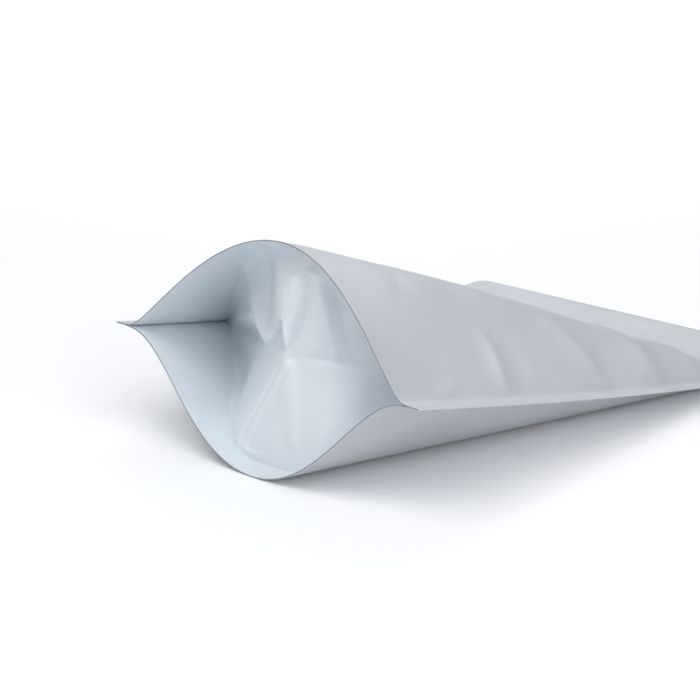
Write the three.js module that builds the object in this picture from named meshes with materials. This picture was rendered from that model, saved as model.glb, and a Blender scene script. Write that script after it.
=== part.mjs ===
import * as THREE from 'three';
import { mergeVertices } from 'three/addons/utils/BufferGeometryUtils.js';

// An empty foil stand-up pouch lying on its back panel, base towards -Y and top towards +Y.
// Millimetres, +Z up, the floor at z = 0.

// Driving dimensions of the pouch as it is cut and sealed, laid flat
const pouchWidth = 160;
const pouchLength = 230;
const sideSeal = 6;              // width of the sealed fin down each side
const topBand = 35;              // flat end above the belly
const topCornerRadius = 5;
const gussetDepth = 52;          // bottom edge to the gusset's middle fold, at the side seals
const bottomSeal = 10;           // bottom edge to the gusset's seam, at the middle
const bottomSealHalf = 18;       // half of the seam's level stretch, before it slants to the side seals
const seamRound = { front: 8, back: 3 };   // how softly the seam turns from level to slant
const film = 0.5;                // thickness of one panel, and half that of a fin

// Driving dimensions of the base as it stands open
const baseChord = 134;           // fin tip to fin tip
const frontRise = 38;            // front panel's height above the side seals
const backDrop = 38;             // back panel's depth below them
const frontHandles = { corner: 8, crown: 32 };   // how long each arc of the base runs level
const backHandles = { corner: 18, crown: 29 };
const foldDepth = 14.2;          // how far in the middle of the gusset's fold lies

// Slackness of the film
const sealSag = 1.5;             // side seals hang this far below a straight line
const bellyBulge = 3.5;          // front panel stands this far above its rulings
const beltEase = 9;              // half the length over which the belly eases into the flat end
const foldSag = 2.8;             // left half of the gusset's fold hangs this far below a straight line
const foldRound = 7;             // how bluntly the gusset turns over its middle, by the seams
const easeFrom = { front: 5, back: 15 };    // the gusset leaves the seam at an angle out to here,
const easeTo = { front: 20, back: 34 };     // and from here on it leaves the skirt smoothly
const easeReach = {              // share of its length that it runs on with the skirt
  front: { left: 0.33, right: 0.33 },
  back: { left: 0.6, right: 0.3 },
};

// Mesh steps
const starHalf = 32;             // half of the width that takes the finer steps, over the gusset's bulges
const middleSteps = 32;
const outerSteps = 9;
const bellySteps = 32;
const bandSteps = 3;
const cornerSteps = 4;
const skirtSteps = 3;
const gussetSteps = 14;

// Sizes that follow
const halfWidth = pouchWidth / 2;
const panelHalf = halfWidth - sideSeal;
const bellyLength = pouchLength - topBand;
const cornerHalf = baseChord / 2 - sideSeal;
const sealHeight = backDrop + film;              // height of the side seals at the base
const bellyReach = Math.sqrt(
  bellyLength ** 2 - (panelHalf - cornerHalf) ** 2 - backDrop ** 2,
);
const beltCorner = new THREE.Vector3(panelHalf, bellyReach, film);
const middleY = (bellyReach + topBand + bellyReach - bellyLength) / 2;   // half-way from base to top

// Half of a base arc, from the side seal (x = 0) up to its crown, level at both ends
function baseArc(rise, handles) {
  return new THREE.CubicBezierCurve(
    new THREE.Vector2(0, 0),
    new THREE.Vector2(handles.corner, 0),
    new THREE.Vector2(cornerHalf - handles.crown, rise),
    new THREE.Vector2(cornerHalf, rise),
  );
}

const frontPanel = { turn: 1, side: 'front', arc: baseArc(frontRise, frontHandles) };
const backPanel = { turn: -1, side: 'back', arc: baseArc(backDrop, backHandles) };

// Creases of the front panel that run in from the side seals, from one place on the flat layout to another:
// across from the middle, up from the bottom edge
const panelCreases = [
  { from: [74, 49], to: [46, 58], height: 1.5, width: 10 },
  { from: [74, 61], to: [49, 67], height: -1.3, width: 9 },
  { from: [74, 107], to: [46, 85], height: 1.4, width: 11 },
  { from: [74, 139], to: [46, 118], height: 1.3, width: 11 },
  { from: [74, 169], to: [51, 138], height: 1.1, width: 10 },
];

// Bulges of the slack gusset towards the open base, in the same way
const gussetBulges = {
  front: [
    { from: [1.5, 52], to: [-0.5, 12], height: 7, width: 9 },
    { from: [-10, 50], to: [-27, 19], height: 7.5, width: 15 },
  ],
  back: [
    { from: [1.5, 51], to: [8.5, 12], height: 2.2, width: 8 },
    { from: [-1, 51], to: [-17.5, 11], height: 2, width: 7 },
  ],
};

// Share of the way along a line on the flat layout, and the distance aside from it
function placeOnLine({ from, to }, across, up) {
  const run = new THREE.Vector2(to[0] - from[0], to[1] - from[1]);
  const here = new THREE.Vector2(across - from[0], up - from[1]);
  return { along: here.dot(run) / run.lengthSq(), aside: here.cross(run) / run.length() };
}

// How far a set of creases or bulges stands out at a place on the flat layout: each is a soft ridge that
// dies away at both ends
function standOut(ridges, across, up) {
  let height = 0;
  for (const ridge of ridges) {
    const { along, aside } = placeOnLine(ridge, across, up);
    if (along <= 0 || along >= 1) continue;
    height += ridge.height * Math.sin(Math.PI * along) * Math.exp(-((2 * aside / ridge.width) ** 2));
  }
  return height;
}

// Point of a panel's open bottom edge, given how far it is from the side seal on the flat layout.
// Each ruling from the belt's corner keeps its flat length, so the edge bows a little.
function bottomEdgePoint(panel, fromSeal) {
  const onArc = panel.arc.getPointAt(fromSeal / panelHalf);
  const x = cornerHalf - onArc.x;
  const z = sealHeight + panel.turn * onArc.y;
  const rulingSquared = fromSeal ** 2 + bellyLength ** 2;
  const reach = Math.sqrt(rulingSquared - (beltCorner.x - x) ** 2 - (beltCorner.z - z) ** 2);
  return new THREE.Vector3(x, beltCorner.y - reach, z);
}

// Inner face of a panel over the flat layout: a flat triangle from the crown of the base to the belt,
// with a cone on each side that narrows to the belt's corner, then the flat end and the side fins
function ruledPoint(panel, across, up) {
  const aside = Math.abs(across);
  const onPanel = Math.min(aside, panelHalf);
  const climb = Math.min(up / bellyLength, 1);
  const triangleHalf = climb * panelHalf;
  const coneWidth = panelHalf - triangleHalf;
  const towardsSeal = coneWidth > 0 ? Math.max(onPanel - triangleHalf, 0) / coneWidth : 1;
  const point = bottomEdgePoint(panel, panelHalf * (1 - towardsSeal)).lerp(beltCorner, climb);
  if (onPanel < triangleHalf) point.x = onPanel;
  point.z -= sealSag * 4 * climb * (1 - climb) * towardsSeal ** 2;
  if (panel.turn > 0) {
    point.z += bellyBulge * Math.sin(Math.PI * climb) * (1 - (onPanel / panelHalf) ** 2);
  }
  point.x = Math.sign(across) * (point.x + aside - onPanel);
  point.y += Math.max(up - bellyLength, 0);
  return point;
}

// The same face with the crease at the belt eased, as the mean of a short stretch up and down
function panelPoint(panel, across, up) {
  const reach = Math.min(beltEase, up, pouchLength - up);
  const point = new THREE.Vector3();
  for (const [share, weight] of [[-1, 1], [-0.5, 2], [0, 2], [0.5, 2], [1, 1]]) {
    point.addScaledVector(ruledPoint(panel, across, up + share * reach), weight / 8);
  }
  return point;
}

// Outward direction of a panel, from its slopes across and up
function panelNormal(panel, across, up) {
  const step = 1.5;
  const left = panelPoint(panel, across - step, up);
  const right = panelPoint(panel, across + step, up);
  const below = panelPoint(panel, across, Math.max(up - step, 0));
  const above = panelPoint(panel, across, Math.min(up + step, pouchLength));
  return right.sub(left).cross(above.sub(below)).setLength(panel.turn);
}

// How much of its width the pouch keeps near the top, where the corners are rounded
function widthShare(up) {
  const intoCorner = Math.max(up - (pouchLength - topCornerRadius), 0);
  const inset = topCornerRadius - Math.sqrt(Math.max(topCornerRadius ** 2 - intoCorner ** 2, 0));
  return 1 - inset / halfWidth;
}

// Outer face of a panel: one film out from the inner face, with the front panel's creases on top
function outerPoint(panel, flatAcross, up) {
  const onFin = Math.abs(flatAcross) >= panelHalf;
  const across = flatAcross * widthShare(up);
  const normal = onFin ? new THREE.Vector3(0, 0, panel.turn) : panelNormal(panel, across, up);
  const crease = panel.turn > 0 && !onFin ? standOut(panelCreases, Math.abs(across), up) : 0;
  const point = panelPoint(panel, across, up).addScaledVector(normal, film + crease);
  point.z = Math.max(point.z, 0);
  return point;
}

// Height of the gusset's seam above the bottom edge, level in the middle and then slanting
function seamUp(panel, across) {
  const round = seamRound[panel.side];
  const ramp = (aside) => (aside + Math.hypot(aside, round)) / 2;
  const level = ramp(-bottomSealHalf);
  const highest = ramp(panelHalf - bottomSealHalf);
  const slant = (ramp(Math.abs(across) - bottomSealHalf) - level) / (highest - level);
  return THREE.MathUtils.lerp(bottomSeal, gussetDepth, slant);
}

// Place that a line of the gusset across the layout heads for on the middle fold, which is sharp at the fold
// itself (share 1) and blunter towards the seam (share 0)
const foldMiddle = new THREE.Vector3(0, foldDepth, sealHeight);

function foldPoint(panel, across, share) {
  const corner = panelPoint(panel, Math.sign(across) * panelHalf, gussetDepth);
  const blunt = foldRound * (1 - share);
  const aside = (Math.hypot(across, blunt) - blunt) / (Math.hypot(panelHalf, blunt) - blunt);
  const outward = Math.abs(across) / panelHalf;
  const point = foldMiddle.clone().lerp(corner, aside);
  point.x = corner.x * outward;
  if (across < 0) point.z -= foldSag * Math.sin(Math.PI * outward);
  return point;
}

// Point of the gusset between a panel's seam (share 0) and the middle fold (share 1)
function gussetPoint(panel, across, share) {
  const start = seamUp(panel, across);
  const seam = panelPoint(panel, across, start);
  const onward = panelPoint(panel, across, start + 1).sub(seam);
  const fold = foldPoint(panel, across, share);
  const reach = easeReach[panel.side][across < 0 ? 'left' : 'right'];
  const smooth = seam.clone().addScaledVector(onward, seam.distanceTo(fold) * reach);
  const ease = THREE.MathUtils.smoothstep(Math.abs(across), easeFrom[panel.side], easeTo[panel.side]);
  const bend = seam.clone().lerp(fold, 0.5).lerp(smooth, ease);
  const point = new THREE.QuadraticBezierCurve3(seam, bend, fold).getPoint(share);
  const up = THREE.MathUtils.lerp(start, gussetDepth, share);
  point.y -= standOut(gussetBulges[panel.side], across, up);
  return point;
}

// Steps across and up the flat layout
function evenSteps(start, end, count) {
  return Array.from({ length: count + 1 }, (_, i) => start + (end - start) * i / count);
}

const innerAcross = [
  ...evenSteps(-panelHalf, -starHalf, outerSteps),
  ...evenSteps(-starHalf, starHalf, middleSteps).slice(1, -1),
  ...evenSteps(starHalf, panelHalf, outerSteps),
];
const acrossLines = [-halfWidth, ...innerAcross, halfWidth];
const cornerStart = pouchLength - topCornerRadius;
const cornerLines = evenSteps(0, Math.PI / 2, cornerSteps)
  .map((angle) => cornerStart + topCornerRadius * Math.sin(angle));
const upLines = [
  ...evenSteps(0, bellyLength, bellySteps),
  ...evenSteps(bellyLength, cornerStart, bandSteps).slice(1, -1),
  ...cornerLines,
];

// Triangles gathered as loose corners, with the thin ones that close to a line left out
const corners = [];

function addTriangle(a, b, c) {
  const area = b.clone().sub(a).cross(c.clone().sub(a)).length();
  if (area < 1e-6) return;
  for (const point of [a, b, c]) corners.push(point.x, point.y - middleY, point.z);
}

function addQuad(a, b, c, d) {
  addTriangle(a, b, c);
  addTriangle(a, c, d);
}

function addGrid(rows, flip) {
  for (let i = 0; i + 1 < rows.length; i += 1) {
    for (let j = 0; j + 1 < rows[i].length; j += 1) {
      const ring = [rows[i][j], rows[i][j + 1], rows[i + 1][j + 1], rows[i + 1][j]];
      addQuad(...(flip ? ring.reverse() : ring));
    }
  }
}

function panelGrid(panel) {
  return upLines.map((up) => acrossLines.map((across) => outerPoint(panel, across, up)));
}

const frontGrid = panelGrid(frontPanel);
const backGrid = panelGrid(backPanel);
const lastUp = upLines.length - 1;
const lastAcross = acrossLines.length - 1;

// Panels, side edges and top edge
function addOutside() {
  addGrid(frontGrid, false);
  addGrid(backGrid, true);
  addGrid([backGrid[lastUp], frontGrid[lastUp]], true);
  addGrid([backGrid.map((row) => row[lastAcross]), frontGrid.map((row) => row[lastAcross])], false);
  addGrid([backGrid.map((row) => row[0]), frontGrid.map((row) => row[0])], true);
}

// Open base: rim of the front panel, its skirt, the gusset's two halves, the back skirt and its rim
function skirtRows(panel) {
  return evenSteps(0, 1, skirtSteps)
    .map((share) => innerAcross.map((across) => panelPoint(panel, across, share * seamUp(panel, across))));
}

function gussetRows(panel) {
  return evenSteps(0, 1, gussetSteps).slice(1)
    .map((share) => innerAcross.map((across) => gussetPoint(panel, across, share)));
}

function addBase() {
  const frontEdge = frontGrid[0];
  const backEdge = backGrid[0];
  const frontSkirt = skirtRows(frontPanel);
  const backSkirt = skirtRows(backPanel);
  addGrid([
    frontEdge.slice(1, -1),
    ...frontSkirt,
    ...gussetRows(frontPanel),
    ...gussetRows(backPanel).reverse().slice(1),
    ...backSkirt.slice().reverse(),
    backEdge.slice(1, -1),
  ], true);
  for (const [fin, inner, flip] of [[0, 1, false], [lastAcross, lastAcross - 1, true]]) {
    const root = frontSkirt[0][inner - 1];
    const fan = [frontEdge[inner], frontEdge[fin], backEdge[fin], backEdge[inner]];
    for (let i = 0; i + 1 < fan.length; i += 1) {
      if (flip) addTriangle(root, fan[i + 1], fan[i]);
      else addTriangle(root, fan[i], fan[i + 1]);
    }
  }
}

function pouchGeometry() {
  addOutside();
  addBase();
  const loose = new THREE.BufferGeometry();
  loose.setAttribute('position', new THREE.Float32BufferAttribute(corners, 3));
  const geometry = mergeVertices(loose, 1e-3);
  geometry.computeVertexNormals();
  return geometry;
}

const foil = new THREE.MeshStandardMaterial({ color: 0xc9ced3, roughness: 0.42, metalness: 0.35 });
const pouch = new THREE.Mesh(pouchGeometry(), foil);
pouch.name = 'pouch';

const standUpPouch = new THREE.Group();
standUpPouch.add(pouch);

export default standUpPouch;
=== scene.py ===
import math

import bmesh
import bpy
import numpy as np
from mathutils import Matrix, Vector
from mathutils.geometry import delaunay_2d_cdt


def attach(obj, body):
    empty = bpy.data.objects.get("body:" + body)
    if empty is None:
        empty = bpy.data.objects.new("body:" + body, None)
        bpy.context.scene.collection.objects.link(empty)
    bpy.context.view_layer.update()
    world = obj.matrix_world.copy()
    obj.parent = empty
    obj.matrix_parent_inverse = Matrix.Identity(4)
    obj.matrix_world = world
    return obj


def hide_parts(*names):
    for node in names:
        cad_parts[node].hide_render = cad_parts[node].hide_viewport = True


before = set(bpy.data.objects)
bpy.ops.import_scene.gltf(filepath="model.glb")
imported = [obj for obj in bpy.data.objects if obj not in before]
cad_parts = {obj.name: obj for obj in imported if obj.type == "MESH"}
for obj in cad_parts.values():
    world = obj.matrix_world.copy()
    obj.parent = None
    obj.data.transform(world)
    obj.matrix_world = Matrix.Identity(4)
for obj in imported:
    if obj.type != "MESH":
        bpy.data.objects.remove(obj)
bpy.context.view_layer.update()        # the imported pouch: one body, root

mm = 0.001

layout = {                        # the pouch cut, sealed and laid flat, millimetres
    "width": 160.0,
    "length": 230.0,
    "sideSeal": 6.0,              # fin down each side
    "flatEnd": 35.0,              # level end above the belly
    "topCorner": 5.0,
    "gussetDepth": 52.0,          # bottom edge to the gusset's middle fold, at the side seals
    "bottomSeal": 10.0,           # bottom edge to the gusset's seam, in the middle
    "bottomSealHalf": 18.0,       # half of the seam's level stretch
    "seamRound": {1: 8.0, -1: 3.0},   # how softly the seam turns upwards, front and back
    "film": 0.5,
    "finTurn": (-2.0, 0.5),       # about the fin's inner edge, where its outer side turns level
}

standing = {                      # the base as it stands open
    "chord": 134.0,
    "rise": {1: 38.0, -1: 38.0},  # front panel up from the side seals, back panel down
    "handles": {1: (8.0, 32.0), -1: (18.0, 29.0)},
    "sealSag": 1.5,
    "bellyBulge": 3.5,
    "beltEase": 9.0,
}

front, back = 1, -1
halfWidth = layout["width"] / 2
panelHalf = halfWidth - layout["sideSeal"]
bellyLength = layout["length"] - layout["flatEnd"]
cornerHalf = standing["chord"] / 2 - layout["sideSeal"]
sealHeight = standing["rise"][back] + layout["film"]
bellyReach = math.sqrt(bellyLength ** 2 - (panelHalf - cornerHalf) ** 2 - standing["rise"][back] ** 2)
beltCorner = np.array([panelHalf, bellyReach, layout["film"]])
middleY = bellyReach + (layout["flatEnd"] - bellyLength) / 2


def smoothStep(low, high, value):
    share = np.clip((value - low) / (high - low), 0.0, 1.0)
    return share * share * (3.0 - 2.0 * share)


def baseArc(side):                # half of a base arc, side seal to crown, by share of its length
    rise = standing["rise"][side]
    corner, crown = standing["handles"][side]
    t = np.linspace(0.0, 1.0, 801)
    x = 3 * (1 - t) ** 2 * t * corner + 3 * (1 - t) * t ** 2 * (cornerHalf - crown) + t ** 3 * cornerHalf
    z = 3 * (1 - t) * t ** 2 * rise + t ** 3 * rise
    run = np.concatenate([[0.0], np.cumsum(np.hypot(np.diff(x), np.diff(z)))])
    return run / run[-1], x, z


arcs = {side: baseArc(side) for side in (front, back)}


def bottomEdge(side, fromSeal):   # each ruling from the belt's corner keeps its flat length
    share, arcX, arcZ = arcs[side]
    x = cornerHalf - np.interp(fromSeal / panelHalf, share, arcX)
    z = sealHeight + side * np.interp(fromSeal / panelHalf, share, arcZ)
    ruling = fromSeal ** 2 + bellyLength ** 2
    reach = np.sqrt(ruling - (beltCorner[0] - x) ** 2 - (beltCorner[2] - z) ** 2)
    return np.stack([x, beltCorner[1] - reach, z], axis=-1)


def ruledFace(side, across, up):  # flat triangle from the crown to the belt, a cone on each side of it
    aside = np.abs(across)
    onPanel = np.minimum(aside, panelHalf)
    climb = np.minimum(up / bellyLength, 1.0)
    triangleHalf = climb * panelHalf
    coneWidth = np.maximum(panelHalf - triangleHalf, 1e-9)
    towardsSeal = np.where(climb < 1.0, np.maximum(onPanel - triangleHalf, 0.0) / coneWidth, 1.0)
    point = bottomEdge(side, panelHalf * (1.0 - towardsSeal))
    point += (beltCorner - point) * climb[..., None]
    point[..., 0] = np.where(onPanel < triangleHalf, onPanel, point[..., 0])
    point[..., 2] -= standing["sealSag"] * 4 * climb * (1 - climb) * towardsSeal ** 2
    if side == front:
        point[..., 2] += standing["bellyBulge"] * np.sin(np.pi * climb) * (1 - (onPanel / panelHalf) ** 2)
    point[..., 0] = np.sign(across) * (point[..., 0] + aside - onPanel)
    point[..., 1] += np.maximum(up - bellyLength, 0.0) - middleY
    return point


def panelFace(side, across, up):  # inner face of a panel, the bend at the belt eased
    across, up = np.broadcast_arrays(np.asarray(across, float), np.asarray(up, float))
    reach = np.minimum(standing["beltEase"], np.minimum(up, layout["length"] - up))
    steps = ((-1.0, 1), (-0.5, 2), (0.0, 2), (0.5, 2), (1.0, 1))   # share of the reach, weight
    total = sum(weight for _, weight in steps)
    return sum(ruledFace(side, across, up + share * reach) * weight / total for share, weight in steps)


def panelOut(side, across, up, step=1.5):   # outward direction, straight up or down on the fins
    inner = np.clip(across, step - panelHalf, panelHalf - step)
    along = panelFace(side, inner + step, up) - panelFace(side, inner - step, up)
    upper = np.minimum(up + step, layout["length"])
    lower = np.maximum(up - step, 0.0)
    out = np.cross(along, panelFace(side, inner, upper) - panelFace(side, inner, lower)) * side
    out /= np.linalg.norm(out, axis=-1, keepdims=True)
    onFin = smoothStep(*layout["finTurn"], np.abs(across) - panelHalf)[..., None]
    out = out * (1 - onFin) + np.array([0.0, 0.0, side]) * onFin
    return out / np.linalg.norm(out, axis=-1, keepdims=True)


def seamUp(side, across):         # height of the gusset's seam above the bottom edge, its bends rounded
    def ramp(aside):
        return (aside + np.hypot(aside, layout["seamRound"][side])) / 2

    level = layout["bottomSealHalf"]
    slant = (ramp(np.abs(across) - level) - ramp(-level)) / (ramp(panelHalf - level) - ramp(-level))
    return layout["bottomSeal"] + (layout["gussetDepth"] - layout["bottomSeal"]) * slant


def stretch(*stops):              # lines from stop to stop, each stop given with the spacing up to it
    lines = [stops[0][0]]
    for (start, _), (end, spacing) in zip(stops, stops[1:]):
        count = max(1, round((end - start) / spacing))
        lines += list(start + (end - start) * (np.arange(count) + 1) / count)
    return np.array(lines)


def gridMesh(name, points, flip):  # quads over a grid of points in millimetres
    rows, cols = points.shape[:2]
    index = np.arange(rows * cols).reshape(rows, cols)
    ring = [index[:-1, :-1], index[:-1, 1:], index[1:, 1:], index[1:, :-1]]
    if flip:
        ring.reverse()
    quads = np.stack(ring, axis=-1).reshape(-1, 4)
    mesh = bpy.data.meshes.new(name)
    mesh.from_pydata((points.reshape(-1, 3) * mm).tolist(), [], quads.tolist())
    return mesh


def addPiece(name, mesh):
    piece = bpy.data.objects.new(name, mesh)
    bpy.context.scene.collection.objects.link(piece)
    return piece


def newTree(name, inputs):        # a node tree with geometry in and out and the named inputs
    tree = bpy.data.node_groups.new(name, "GeometryNodeTree")
    tree.interface.new_socket("Geometry", in_out="INPUT", socket_type="NodeSocketGeometry")
    for label, kind in inputs:
        tree.interface.new_socket(label, in_out="INPUT", socket_type="NodeSocket" + kind)
    tree.interface.new_socket("Geometry", in_out="OUTPUT", socket_type="NodeSocketGeometry")
    return tree, tree.nodes.new("NodeGroupInput"), tree.nodes.new("NodeGroupOutput")


def nodeMaker(tree):              # makes a node, sets its fields and links or sets its inputs
    def make(kind, *links, **fields):
        node = tree.nodes.new(kind)
        for field, value in fields.items():
            setattr(node, field, value)
        for slot, source in enumerate(links):
            if isinstance(source, bpy.types.NodeSocket):
                tree.links.new(source, node.inputs[slot])
            elif source is not None:
                node.inputs[slot].default_value = source
        return node.outputs[0]
    return make


def mathMaker(make):              # short form for math nodes
    def calc(operation, *links, **fields):
        return make("ShaderNodeMath", *links, operation=operation, **fields)
    return calc


def closeTree(tree, make, geometry, material, groupOut):
    made = make("GeometryNodeRealizeInstances", geometry)
    made = make("GeometryNodeSetMaterial", made, None, material)
    tree.links.new(made, groupOut.inputs[0])


def useTree(piece, tree, values):  # one modifier, its inputs set by identifier
    modifier = piece.modifiers.new(tree.name, "NODES")
    modifier.node_group = tree
    sockets = {item.name: item.identifier for item in tree.interface.items_tree if item.in_out == "INPUT"}
    for label, value in values.items():
        modifier[sockets[label]] = value


def settle(piece, sharpAngle=50):  # modifiers turned to a plain mesh
    shaped = piece.evaluated_get(bpy.context.evaluated_depsgraph_get())
    mesh = bpy.data.meshes.new_from_object(shaped)
    piece.modifiers.clear()
    piece.data = mesh
    mesh.shade_smooth()
    mesh.set_sharp_from_angle(angle=math.radians(sharpAngle))
    triangles = sum(len(face.vertices) - 2 for face in mesh.polygons)
    print(piece.name, len(mesh.vertices), "points", triangles, "triangles")


def thicken(piece):               # film grows inwards from its outer face
    thick = piece.modifiers.new("thickness", "SOLIDIFY")
    thick.thickness = sheet["thickness"] * mm
    thick.offset = -1.0


def finishPiece(piece):
    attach(piece, "root")
    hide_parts("pouch")


print("layout ready")

filmGrain = {                     # the same on every film
    "cloudRange": (0.35, 0.65),
    "cloudDetail": 3.0,
    "grainScale": 900.0,
    "grainDetail": 2.0,
    "grainDepth": 0.0004,
    "grain": 0.02,
}
foilLook = {                      # outer film of the panels
    "colour": (0.496, 0.530, 0.555, 1),
    "paler": (0.549, 0.569, 0.605, 1),
    "metallic": 0.3,
    "roughness": (0.46, 0.56),
    "cloudScale": 28.0,
}
paintedPaleGussetLook = {                # the panels' same foil, painted paler and a touch bluer for the gusset and its skirts: painted light inside the open base
    "colour": (0.70, 0.745, 0.785, 1),
    "paler": (0.735, 0.78, 0.82, 1),
    "metallic": 0.3,
    "roughness": (0.52, 0.60),
    "cloudScale": 36.0,
}
edgeLook = {                      # the cut edge of the film shows dark
    "colour": (0.16, 0.19, 0.22, 1),
    "paler": (0.22, 0.25, 0.28, 1),
    "metallic": 0.2,
    "roughness": (0.45, 0.6),
    "cloudScale": 60.0,
}


def foilMaterial(name, look):     # satin film: soft clouds of sheen, a fine grain
    material = bpy.data.materials.new(name)
    material.use_nodes = True
    tree = material.node_tree
    shader = tree.nodes["Principled BSDF"]
    shader.inputs["Metallic"].default_value = look["metallic"]
    place = tree.nodes.new("ShaderNodeTexCoord").outputs["Object"]

    def noise(scale, detail):
        node = tree.nodes.new("ShaderNodeTexNoise")
        node.inputs["Scale"].default_value = scale
        node.inputs["Detail"].default_value = detail
        tree.links.new(place, node.inputs["Vector"])
        return node.outputs["Fac"]

    clouds = noise(look["cloudScale"], filmGrain["cloudDetail"])
    tint = tree.nodes.new("ShaderNodeValToRGB")
    tint.color_ramp.elements[0].position = filmGrain["cloudRange"][0]
    tint.color_ramp.elements[0].color = look["colour"]
    tint.color_ramp.elements[1].position = filmGrain["cloudRange"][1]
    tint.color_ramp.elements[1].color = look["paler"]
    tree.links.new(clouds, tint.inputs["Fac"])
    tree.links.new(tint.outputs["Color"], shader.inputs["Base Color"])
    sheen = tree.nodes.new("ShaderNodeMapRange")
    sheen.inputs["To Min"].default_value = look["roughness"][0]
    sheen.inputs["To Max"].default_value = look["roughness"][1]
    tree.links.new(clouds, sheen.inputs["Value"])
    tree.links.new(sheen.outputs["Result"], shader.inputs["Roughness"])
    bump = tree.nodes.new("ShaderNodeBump")
    bump.inputs["Strength"].default_value = filmGrain["grain"]
    bump.inputs["Distance"].default_value = filmGrain["grainDepth"]
    grain = noise(filmGrain["grainScale"], filmGrain["grainDetail"])
    tree.links.new(grain, bump.inputs["Height"])
    tree.links.new(bump.outputs["Normal"], shader.inputs["Normal"])
    return material


foil = foilMaterial("foil", foilLook)
# the gusset's copy of the foil is painted paler, standing in for light inside the open base
paintedPaleGussetFoil = foilMaterial("paintedPaleGussetFoil", paintedPaleGussetLook)
edgeFoil = foilMaterial("cutEdge", edgeLook)


def creaseTree():                 # lifts the film along a line of its flat layout
    inputs = [("from", "Vector"), ("to", "Vector"), ("height", "Float"), ("width", "Float"),
              ("bend", "Float"), ("round", "Float")]
    tree, groupIn, groupOut = newTree("filmCrease", inputs)
    make = nodeMaker(tree)
    calc = mathMaker(make)
    geometry, start, end, height, width, bend, roundness = groupIn.outputs[:7]
    flat = make("GeometryNodeInputNamedAttribute", "flat", data_type="FLOAT_VECTOR")
    run = make("ShaderNodeVectorMath", end, start, operation="SUBTRACT")
    here = make("ShaderNodeVectorMath", flat, start, operation="SUBTRACT")

    def dot(a, b):
        node = tree.nodes.new("ShaderNodeVectorMath")
        node.operation = "DOT_PRODUCT"
        tree.links.new(a, node.inputs[0])
        tree.links.new(b, node.inputs[1])
        return node.outputs["Value"]

    along = calc("DIVIDE", dot(here, run), dot(run, run), use_clamp=True)
    sideways = make("ShaderNodeVectorMath", run, (0.0, 0.0, 1.0), operation="CROSS_PRODUCT")
    sideways = make("ShaderNodeVectorMath", sideways, operation="NORMALIZE")
    swell = calc("SINE", calc("MULTIPLY", along, math.pi))   # none at the ends, full in the middle
    aside = calc("SUBTRACT", dot(here, sideways), calc("MULTIPLY", bend, swell))
    aside = calc("ABSOLUTE", calc("MULTIPLY", calc("DIVIDE", aside, width), 2.0))
    fall = calc("MULTIPLY", calc("POWER", aside, roundness), -1.0)
    profile = calc("MULTIPLY", calc("EXPONENT", fall), swell)
    lift = calc("MULTIPLY", calc("MULTIPLY", profile, height), mm)
    out = make("ShaderNodeVectorMath", make("GeometryNodeInputNormal"), operation="SCALE")
    tree.links.new(lift, out.node.inputs["Scale"])
    lifted = make("GeometryNodeSetPosition", geometry, None, None, out)
    closeTree(tree, make, lifted, foil, groupOut)
    return tree


def rippleTree():                 # soft unevenness of slack film, as far as its slack allows
    inputs = [("size", "Float"), ("height", "Float"), ("seed", "Float")]
    tree, groupIn, groupOut = newTree("filmRipple", inputs)
    make = nodeMaker(tree)
    calc = mathMaker(make)
    geometry, size, height, seed = groupIn.outputs[:4]
    flat = make("GeometryNodeInputNamedAttribute", "flat", data_type="FLOAT_VECTOR")
    slack = make("GeometryNodeInputNamedAttribute", "slack", data_type="FLOAT")
    scale = calc("DIVIDE", 1.0, size)
    noise = tree.nodes.new("ShaderNodeTexNoise")
    noise.noise_dimensions = "4D"
    tree.links.new(flat, noise.inputs["Vector"])
    tree.links.new(seed, noise.inputs["W"])
    tree.links.new(scale, noise.inputs["Scale"])
    noise.inputs["Detail"].default_value = 1.0
    wave = calc("SUBTRACT", noise.outputs["Fac"], 0.5)
    wave = calc("MULTIPLY", calc("MULTIPLY", wave, height), slack)
    wave = calc("MULTIPLY", wave, 2.0 * mm)
    out = make("ShaderNodeVectorMath", make("GeometryNodeInputNormal"), operation="SCALE")
    tree.links.new(wave, out.node.inputs["Scale"])
    lifted = make("GeometryNodeSetPosition", geometry, None, None, out)
    closeTree(tree, make, lifted, foil, groupOut)
    return tree


filmCrease = creaseTree()
filmRipple = rippleTree()
print("film trees ready")

sheet = {
    "thickness": 0.25,            # film as drawn
    "sealed": 0.26,               # outer face from the middle of a seal
    "closeTop": 3.0,              # the films meet over this much at the top
    "sealStep": (74.2, 75.8),     # and between these places at each side
    "acrossSpacing": (1.2, 1.1),  # fins, panel
    "upSpacing": (0.85, 1.15, 0.45),   # near the base, belly, top corners
    "baseEnd": 60.0,
    "topGap": 0.02,               # rows stop this far short of the top
    "slackFromSeal": 14.0,        # film is taut at the seals and the base edge, slack this far away
    "slackFromBase": 25.0,
    "beltTaut": (20.0, 0.6),      # how far below the belt it grows taut again, and how much
    "slackOverFloor": (1.0, 8.0),  # where it lies on the floor it has no ripples
}


def widthShare(up):               # rounded top corners
    radius = layout["topCorner"]
    into = np.maximum(up - (layout["length"] - radius), 0.0)
    return 1 - (radius - np.sqrt(np.maximum(radius ** 2 - into ** 2, 0.0))) / halfWidth


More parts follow.
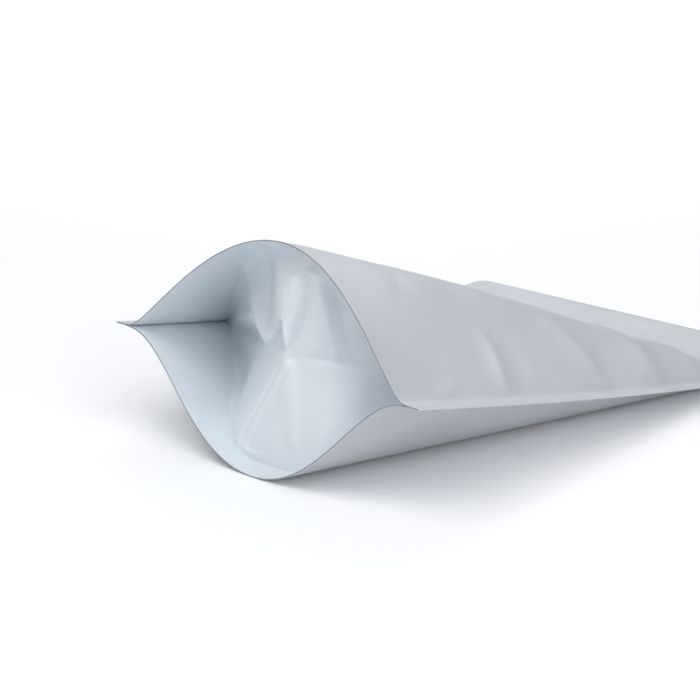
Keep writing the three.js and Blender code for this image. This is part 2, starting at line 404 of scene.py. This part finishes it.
def panelPiece(name, side, look):  # one panel of film: ruled shape, creases, ripples, thickness
    onFin, onPanel = sheet["acrossSpacing"]
    acrossLines = stretch((-halfWidth, 0), (-panelHalf, onFin), (panelHalf, onPanel), (halfWidth, onFin))
    nearBase, onBelly, atTop = sheet["upSpacing"]
    cornerStart = layout["length"] - layout["topCorner"]
    topEnd = layout["length"] - sheet["topGap"]
    upLines = stretch((0.0, 0), (sheet["baseEnd"], nearBase), (cornerStart, onBelly), (topEnd, atTop))
    across, up = np.meshgrid(acrossLines, upLines)
    across = across * widthShare(up)
    sealed = smoothStep(*sheet["sealStep"], np.abs(across))
    sealed = np.maximum(sealed, smoothStep(-sheet["closeTop"], 0.0, up - layout["length"]))
    lift = layout["film"] + (sheet["sealed"] - layout["film"]) * sealed
    points = panelFace(side, across, up) + panelOut(side, across, up) * lift[..., None]
    mesh = gridMesh(name, points, side == back)
    flat = np.stack([across, up, np.zeros_like(up)], axis=-1)
    mesh.attributes.new("flat", "FLOAT_VECTOR", "POINT").data.foreach_set("vector", flat.ravel())
    slack = smoothStep(0.0, sheet["slackFromSeal"], panelHalf - np.abs(across))
    slack *= smoothStep(0.0, sheet["slackFromBase"], up)
    below, taut = sheet["beltTaut"]
    slack *= 1 - taut * smoothStep(bellyLength - below, bellyLength, up)
    if side == back:
        slack *= smoothStep(*sheet["slackOverFloor"], points[..., 2])
    mesh.attributes.new("slack", "FLOAT", "POINT").data.foreach_set("value", slack.ravel())
    piece = addPiece(name, mesh)
    for start, end, height, width, bend, roundness in look["creases"]:
        useTree(piece, filmCrease, {"from": (*start, 0.0), "to": (*end, 0.0), "height": height,
                                    "width": width, "bend": bend, "round": roundness})
    for size, height, seed in look["ripples"]:
        useTree(piece, filmRipple, {"size": size, "height": height, "seed": seed})
    thicken(piece)
    settle(piece)
    finishPiece(piece)


frontLook = {                     # creases: from, to (across, up), height, width, bow, roundness
    "creases": [
        ((73.5, 52), (47, 52.5), 2.0, 8, 1.0, 1.6),
        ((74, 62), (50, 66), -0.7, 9, 1.0, 2.0),
        ((74, 107), (46, 87), 2.1, 10, 1.5, 1.6),
        ((74, 140), (46, 118), 2.0, 11, 1.5, 1.6),
        ((74, 169), (51, 138), 1.7, 10, 1.5, 1.6),
        ((70, 17), (66, 32), 0.7, 3.5, 1.0, 1.7),
        ((50, 10), (60, 18), -0.16, 4.5, 0.5, 1.7),
        ((-46, 84), (42, 20), -0.4, 5.0, 0.0, 1.8),
        ((-74, 52), (-44, 60), 1.4, 10, -1.5, 1.6),
        ((-74, 66), (-50, 70), -1.2, 9, 1.0, 2.0),
        ((-74, 112), (-47, 92), 1.3, 11, -1.5, 1.6),
        ((-74, 146), (-49, 124), 1.2, 11, 1.5, 1.6),
    ],
    "ripples": [(34.0, 0.5, 3.0), (13.0, 0.12, 8.0)],
}
backLook = {
    "creases": [
        ((74, 50), (52, 66), 0.9, 9, 1.0, 1.7),
        ((74, 96), (58, 84), 0.8, 9, 1.0, 1.7),
        ((-74, 51), (-53, 64), 0.9, 9, -1.0, 1.7),
        ((-74, 104), (-60, 92), 0.8, 9, 1.0, 1.7),
    ],
    "ripples": [(30.0, 0.35, 5.0), (12.0, 0.1, 12.0)],
}
panelPiece("frontPanel", front, frontLook)
panelPiece("backPanel", back, backLook)
print("panels ready")

gussetLook = {
    "foldMiddle": (0.0, 14.2, 38.5),
    "foldRound": 7.0,             # how softly the film turns at the middle, less towards the fold
    "foldSharp": 0.3,
    "leftSag": 2.8,
    "fold": [                     # how far the middle fold stands out, by place across
        (-73, 0), (-40, 0.4), (-30, 1.4), (-24, 2.4), (-15, 3.2), (-7, 3.0), (-2.5, 2.0),
        (0, 0.9), (3, 0.4), (10, -0.2), (20, -0.4), (36, -0.3), (50, 0), (73, 0),
    ],
    "foldReach": 73.0,
    "seamPlaces": 38,
    "easeFrom": {front: (5.0, 20.0), back: (24.0, 44.0)},   # outwards of here it leaves the skirt smoothly
    "ease": {front: (0.33, 0.33), back: (0.6, 0.3)},   # and runs on with it for this share, left and right
    "rows": 80,
    "skirtRows": 12,
    "fine": (-46.0, 26.0),        # columns are closer in the star
    "acrossSpacing": (1.2, 0.5),
    "spacing": 1.5,               # along a crease
    "softness": 2,
    "softShare": 0.6,
    # creases of the slack film: place across, place up the layout, how far it stands out
    front: {
        "leftCrease": [(-66, 51, 0.3), (-56, 49.3, 1.9), (-47.8, 48.1, 2.9), (-41.5, 46.9, 2.6)],
        "leftUnder": [(-60, 51.2, -0.5), (-46, 50.4, -1.4), (-34, 50.2, -1)],
        "tongueFoot": [(-43.5, 36, 0.3), (-41, 41, 0), (-37.6, 44.2, 0), (-34, 46.8, 0),
                       (-29.6, 48.7, 0), (-25.6, 49.9, 0)],
        "tongueLeft": [(-38.6, 25.5, 0.6), (-39.4, 33.5, 2.6), (-36.2, 37.4, 4.2), (-33.2, 40.7, 5.2),
                       (-30, 43.7, 6), (-26.9, 46.2, 5.8), (-23.2, 48, 5.2), (-21, 49.1, 4)],
        "tongueTop": [(-38.6, 25.5, 0.6), (-36.2, 30.3, 1.3), (-30, 31.1, 1.7), (-23.2, 30.5, 1.9),
                      (-17, 28, 1.8)],
        "tongueMiddle": [(-33.6, 34.8, 2.8), (-28.6, 38.1, 3.3), (-26.6, 41.2, 3.4), (-25.2, 44, 3.6),
                         (-23, 46.4, 3.8)],
        "tongueRight": [(-17, 28, 1.8), (-19.4, 34, 1.4), (-20.4, 37.5, 1.1), (-21, 40.9, 1.1),
                        (-21, 43.8, 1.5), (-20.4, 46.2, 2.2)],
        "pleatTop": [(-17, 28, 1.8), (-9.8, 18, 1.3), (-7, 14.4, 0.8), (-5, 12.6, 0.4)],
        "pleatEnd": [(-21, 49.1, 4), (-18.8, 48.2, 3), (-16.2, 47, 2.6), (-11.8, 44.3, 2.5),
                     (-6.2, 39.8, 2.7), (-3.4, 37.8, 3.2)],
        "pleatBack": [(-17.4, 49.3, 1.6), (-12.4, 46.2, -0.2), (-6.4, 41.4, -0.6), (-4.2, 39.8, -0.5)],
        "recess": [(-4.2, 42.4, -0.8), (-3.4, 45.5, -0.9), (-2.4, 48.6, -0.4)],
        "pleatUnder": [(-30, 51, 0.6), (-24, 50.9, 1.2), (-18, 50.9, 1.5), (-11.4, 50.8, 0.6),
                       (-5, 50.8, 0.4), (-2, 50.8, 0.6)],
        "strip": [(-6.2, 17.7, 1.3), (-5.8, 23.3, 2.1), (-5.2, 28.9, 2.6), (-5, 34.6, 2.8),
                  (-5, 37.1, 2.9)],
        "petalLeft": [(-4.6, 13.8, 0.5), (-4.6, 16.6, 0.8), (-4.2, 19.1, 1.3), (-3.4, 21.4, 2),
                      (-2.8, 24.6, 2.8), (-2.4, 29.6, 3.3), (-1.8, 34.5, 3.5), (-1.2, 40.1, 3.4),
                      (-0.6, 44.3, 2.9), (0, 48.1, 2.1), (0.6, 50.9, 1)],
        "petalCrest": [(-0.4, 22, 2), (1.2, 24.7, 2.7), (2.2, 28.8, 3), (2.6, 33.8, 3.1), (2.6, 39, 2.9),
                       (2, 43.8, 2.4), (1.4, 47.7, 1.7)],
        "petalRight": [(1, 13.8, 0.5), (1.4, 19.3, 0.7), (3.6, 22.6, 1.2), (4.4, 26.7, 1.4),
                       (4.6, 32.1, 1.4), (4.2, 37.4, 1.3), (3.4, 42.5, 1.1), (2.5, 47, 0.9),
                       (1.4, 50.6, 0.7)],
        "petalFoot": [(3.6, 18, 0.1), (5.6, 23.6, -0.3), (6, 31.6, -0.4), (5.6, 38.7, -0.3),
                      (4.4, 45.2, 0.1)],
        "rightCrease": [(9, 19.9, 1.6), (11.5, 33.7, 2.3), (14.3, 45.7, 1.7), (14.7, 51, 0.3)],
        "sideCrease": [(13.1, 29, 0.6), (17.5, 44, 0.8)],
        "crumple": [(15.4, 49.9, 0.9), (16.6, 49.2, 1.3), (17.6, 48.5, 0.8)],
        "foldTop": [(2, 50.2, 0.3), (8.9, 50, 0.3), (13.5, 50.1, 0.3)],
    },
    back: {
        "foldFoot": [(2, 50.2, 0.2), (8.9, 50, 0.2), (17.8, 50.2, 0.1), (30, 50.6, 0)],
        "wedge": [(-37.6, 50.9, 0.6), (-26.4, 51.2, 1.9), (-15.2, 50.8, 2.6), (-6.4, 50.6, 2.5),
                  (-1.8, 50.9, 1.5)],
        "ridgeLeft": [(0, 50.3, 1.2), (-7.4, 39.7, 2.5), (-12.2, 29.6, 2.3), (-16.2, 15.6, 1.4),
                      (-17.4, 11, 0.5)],
        "ridgeGroove": [(-0.4, 48.5, 1.2), (-6.2, 39.6, 1.5), (-11, 29.8, 1.3), (-15.2, 15.7, 0.6)],
        "ridgeRight": [(1, 48.1, 1.6), (-3.9, 39.8, 2.2), (-9.2, 30.1, 2), (-13.6, 16.4, 1.2),
                       (-15.2, 11.8, 0.5)],
        "ridgeFoot": [(-3.1, 38.8, 1), (-8.4, 29.5, 0.6), (-12.2, 16.2, 0.2)],
        "petalLeft": [(0.6, 45.3, 0.9), (-1.8, 39.6, 0.5), (-1.7, 35.3, 0.3), (0.8, 27.5, 0),
                      (5.6, 17.6, 0), (8.8, 12.3, 0)],
        "petalMiddle": [(2, 48.4, 1.3), (3.4, 43.3, 1.7), (5.6, 33, 1.7), (7.8, 20.3, 1)],
        "petalRight": [(2.8, 49.3, 0.6), (4.6, 46.8, 0.4), (7.2, 40.7, 0.2), (9.5, 29.6, 0),
                       (10.1, 18.6, 0)],
        "crinkle": [(-11.3, 12.2, 0.8), (-8, 12.7, 0.9), (-4.4, 13.5, 0.7)],
        "crinkleFoot": [(-10.9, 13.5, 0.1), (-7.4, 14, 0.1), (-4.2, 14.6, 0.1)],
        "sideCrease": [(22, 31.6, 0.5), (19.6, 23.6, 0.8), (16.1, 15.3, 0.5)],
    },
}


def gussetBase(side, across, share):   # film from a panel's seam to the middle fold
    seam = panelFace(side, across, seamUp(side, across))
    onward = panelFace(side, across, seamUp(side, across) + 1.0) - seam
    corner = panelFace(side, np.sign(across) * panelHalf, np.full_like(across, layout["gussetDepth"]))
    middle = np.array(gussetLook["foldMiddle"]) - (0.0, middleY, 0.0)
    bow = gussetLook["foldRound"] * (1.0 - share) + gussetLook["foldSharp"]
    aside = (np.sqrt(across ** 2 + bow ** 2) - bow) / (np.sqrt(panelHalf ** 2 + bow ** 2) - bow)
    fold = middle + (corner - middle) * aside[..., None]
    outward = np.abs(across) / panelHalf
    fold[..., 0] = middle[0] + (corner - middle)[..., 0] * outward
    fold[..., 2] -= np.where(across < 0, gussetLook["leftSag"], 0.0) * np.sin(np.pi * outward)
    length = np.linalg.norm(fold - seam, axis=-1, keepdims=True)
    ease = smoothStep(*gussetLook["easeFrom"][side], np.abs(across))[..., None]
    bend = (seam + fold) / 2
    reach = np.where(across < 0, *gussetLook["ease"][side])[..., None]
    bend += (seam + onward * length * reach - bend) * ease
    share = share[..., None]
    return seam * (1 - share) ** 2 + bend * 2 * share * (1 - share) + fold * share ** 2


def throughPlaces(chain, spacing):   # smooth line through the places of a crease
    places = np.array(chain, float)
    ends = np.vstack([2 * places[0] - places[1], places, 2 * places[-1] - places[-2]])
    line = []
    for before, start, end, after in zip(ends, ends[1:], ends[2:], ends[3:]):
        count = max(1, round(np.hypot(*(end - start)[:2]) / spacing))
        t = (np.arange(count) / count)[:, None]
        curve = 2 * start + (end - before) * t + (2 * before - 5 * start + 4 * end - after) * t ** 2
        line += ((curve + (3 * start - before - 3 * end + after) * t ** 3) / 2).tolist()
    return line + [places[-1].tolist()]


def standOut(side, across, up):   # push of the film between its creases, facet by facet
    depth, reach = layout["gussetDepth"], gussetLook["foldReach"]
    seamAcross = np.linspace(-panelHalf, panelHalf, gussetLook["seamPlaces"])
    edge = [(a, float(seamUp(side, a)), 0.0) for a in seamAcross]
    fold = [(a, depth, np.interp(a, *zip(*gussetLook["fold"]))) for a in np.arange(-reach, reach + 1)]
    places, creases = edge + fold, []
    for chain in gussetLook[side].values():
        first = len(places)
        line = throughPlaces(chain, gussetLook["spacing"])
        places += line
        creases += [(first + i, first + i + 1) for i in range(len(line) - 1)]
    made = delaunay_2d_cdt([Vector(place[:2]) for place in places], creases, [], 0, 1e-3)
    flat = np.array([tuple(place) for place in made[0]])
    given = np.array(places)
    push = np.array([given[np.hypot(*(given[:, :2] - place).T).argmin(), 2] for place in flat])
    result, best = np.zeros_like(across), np.full(across.shape, -np.inf)
    for triangle in made[2]:
        a, b, c = flat[list(triangle)]
        area = (b[0] - a[0]) * (c[1] - a[1]) - (b[1] - a[1]) * (c[0] - a[0])
        if abs(area) < 1e-9:
            continue
        shareB = ((across - a[0]) * (c[1] - a[1]) - (up - a[1]) * (c[0] - a[0])) / area
        shareC = ((b[0] - a[0]) * (up - a[1]) - (b[1] - a[1]) * (across - a[0])) / area
        inside = np.minimum(np.minimum(shareB, shareC), 1 - shareB - shareC)
        height = push[list(triangle)] @ np.stack([1 - shareB - shareC, shareB, shareC]).reshape(3, -1)
        result = np.where(inside > best, height.reshape(across.shape), result)
        best = np.maximum(best, inside)
    return result


def soften(field, rounds):        # evens a grid out a little, its border kept
    for _ in range(rounds):
        mean = (field[:-2, 1:-1] + field[2:, 1:-1] + field[1:-1, :-2] + field[1:-1, 2:]) / 4
        field[1:-1, 1:-1] += gussetLook["softShare"] * (mean - field[1:-1, 1:-1])
    return field


def gussetPiece(look):            # skirt, film, skirt in one sheet, front to back
    left, right = look["fine"]
    coarse, close = look["acrossSpacing"]
    acrossLines = stretch((-panelHalf, 0), (left, coarse), (right, close), (panelHalf, coarse))
    halves, skirts = {}, {}
    for side in (front, back):
        across, share = np.meshgrid(acrossLines, np.linspace(0.0, 1.0, look["rows"] + 1))
        seam = seamUp(side, across)
        up = seam + (layout["gussetDepth"] - seam) * share
        push = soften(standOut(side, across, up), look["softness"])
        halves[side] = gussetBase(side, across, share)
        halves[side][..., 1] -= push
        across, share = np.meshgrid(acrossLines, np.linspace(0.0, 1.0, look["skirtRows"] + 1)[:-1])
        skirts[side] = panelFace(side, across, share * seamUp(side, across))
    film = np.concatenate([halves[front], halves[back][::-1][1:]])
    mesh = gridMesh("gusset", np.concatenate([skirts[front], film, skirts[back][::-1]]), True)
    shell = bmesh.new()
    shell.from_mesh(mesh)
    bmesh.ops.remove_doubles(shell, verts=shell.verts, dist=1e-6)
    bmesh.ops.dissolve_degenerate(shell, edges=shell.edges, dist=1e-7)
    shell.to_mesh(mesh)
    shell.free()
    # the paler copy of the foil: painted light in the open base
    mesh.materials.append(paintedPaleGussetFoil)
    piece = addPiece("gusset", mesh)
    thicken(piece)
    settle(piece)
    finishPiece(piece)


gussetPiece(gussetLook)
print("gusset ready")

cutEdgeLook = {"radius": 0.15, "sides": 8, "spacing": 1.0, "pastPanel": 1.0, "sharpAngle": 80}


def edgeTree():                   # a fine round edge along a path
    tree, groupIn, groupOut = newTree("cutEdge", [("radius", "Float"), ("sides", "Int")])
    make = nodeMaker(tree)
    geometry, radius, sides = groupIn.outputs[:3]
    path = make("GeometryNodeMeshToCurve", geometry)
    ring = tree.nodes.new("GeometryNodeCurvePrimitiveCircle")
    tree.links.new(sides, ring.inputs["Resolution"])
    tree.links.new(radius, ring.inputs["Radius"])
    tube = tree.nodes.new("GeometryNodeCurveToMesh")
    tree.links.new(path, tube.inputs["Curve"])
    tree.links.new(ring.outputs["Curve"], tube.inputs["Profile Curve"])
    tube.inputs["Fill Caps"].default_value = True
    closeTree(tree, make, tube.outputs["Mesh"], edgeFoil, groupOut)
    return tree


def cutEdgePiece(look):           # cut edge of the two films round the open base
    points, edges = [], []
    for side, reach in ((front, halfWidth), (back, panelHalf + look["pastPanel"])):
        across = stretch((-reach, 0), (reach, look["spacing"]))
        level = np.zeros_like(across)
        lift = sheet["thickness"] * (1 - smoothStep(*sheet["sealStep"], np.abs(across)))
        path = panelFace(side, across, level) + panelOut(side, across, level) * lift[:, None]
        start = len(points)
        points += (path * mm).tolist()
        edges += [(start + i, start + i + 1) for i in range(len(path) - 1)]
    mesh = bpy.data.meshes.new("cutEdge")
    mesh.from_pydata(points, edges, [])
    piece = addPiece("cutEdge", mesh)
    useTree(piece, edgeTree(), {"radius": look["radius"] * mm, "sides": look["sides"]})
    settle(piece, look["sharpAngle"])
    finishPiece(piece)


cutEdgePiece(cutEdgeLook)
print("cut edge ready")

studio = {
    "floorSize": 8.0,
    "floorColour": (0.93, 0.93, 0.94, 1),
    "floorRoughness": 0.8,
    "worldColour": (0.93, 0.96, 1.0, 1),
    "worldStrength": 0.43,
    "lights": [                   # name, place, aim, size, watts
        ("front", (0.82, -0.32, 0.34), (0.0, -0.1, 0.03), 0.7, 2.2),
        ("above", (-0.05, -0.48, 0.85), (0.0, -0.1, 0.03), 0.7, 3.7),
        ("right", (0.53, -0.24, 0.74), (0.0, -0.1, 0.03), 0.7, 2.0),
        ("behind", (-0.8, 1.0, 1.0), (-0.7, 0.85, 0.0), 1.4, 7.5),
        ("backdrop", (-0.8, 1.0, 1.0), (-1.3, 1.6, 0.0), 1.4, 20.0),
    ],
    "camera": {                   # degrees, millimetres
        "place": (0.42438, -0.55553, 0.24875),
        "tilt": 71.471,
        "turn": 40.873,
        "lens": 102.857,
        "sensor": 36.0,
    },
}


def studioScene(look):
    mesh = bpy.data.meshes.new("floor")
    half = look["floorSize"] / 2
    corners = [(-half, -half, 0), (half, -half, 0), (half, half, 0), (-half, half, 0)]
    mesh.from_pydata(corners, [], [(0, 1, 2, 3)])
    floor = addPiece("floor", mesh)
    material = bpy.data.materials.new("floor")
    material.use_nodes = True
    shader = material.node_tree.nodes["Principled BSDF"]
    shader.inputs["Base Color"].default_value = look["floorColour"]
    shader.inputs["Roughness"].default_value = look["floorRoughness"]
    mesh.materials.append(material)
    world = bpy.data.worlds.new("studio")
    world.use_nodes = True
    sky = world.node_tree.nodes["Background"]
    sky.inputs["Color"].default_value = look["worldColour"]
    sky.inputs["Strength"].default_value = look["worldStrength"]
    bpy.context.scene.world = world
    for name, place, aim, size, watts in look["lights"]:
        lamp = bpy.data.lights.new(name, "AREA")
        lamp.shape = "DISK"
        lamp.size = size
        lamp.energy = watts
        light = bpy.data.objects.new(name, lamp)
        light.location = place
        light.rotation_euler = (Vector(aim) - Vector(place)).to_track_quat("-Z", "Y").to_euler()
        bpy.context.scene.collection.objects.link(light)
    view = look["camera"]
    lens = bpy.data.cameras.new("camera")
    lens.lens = view["lens"]
    lens.sensor_width = view["sensor"]
    camera = bpy.data.objects.new("camera", lens)
    camera.location = view["place"]
    camera.rotation_euler = (math.radians(view["tilt"]), 0.0, math.radians(view["turn"]))
    bpy.context.scene.collection.objects.link(camera)
    bpy.context.scene.camera = camera
    bpy.context.scene.view_settings.view_transform = "Standard"


studioScene(studio)
print("studio ready")
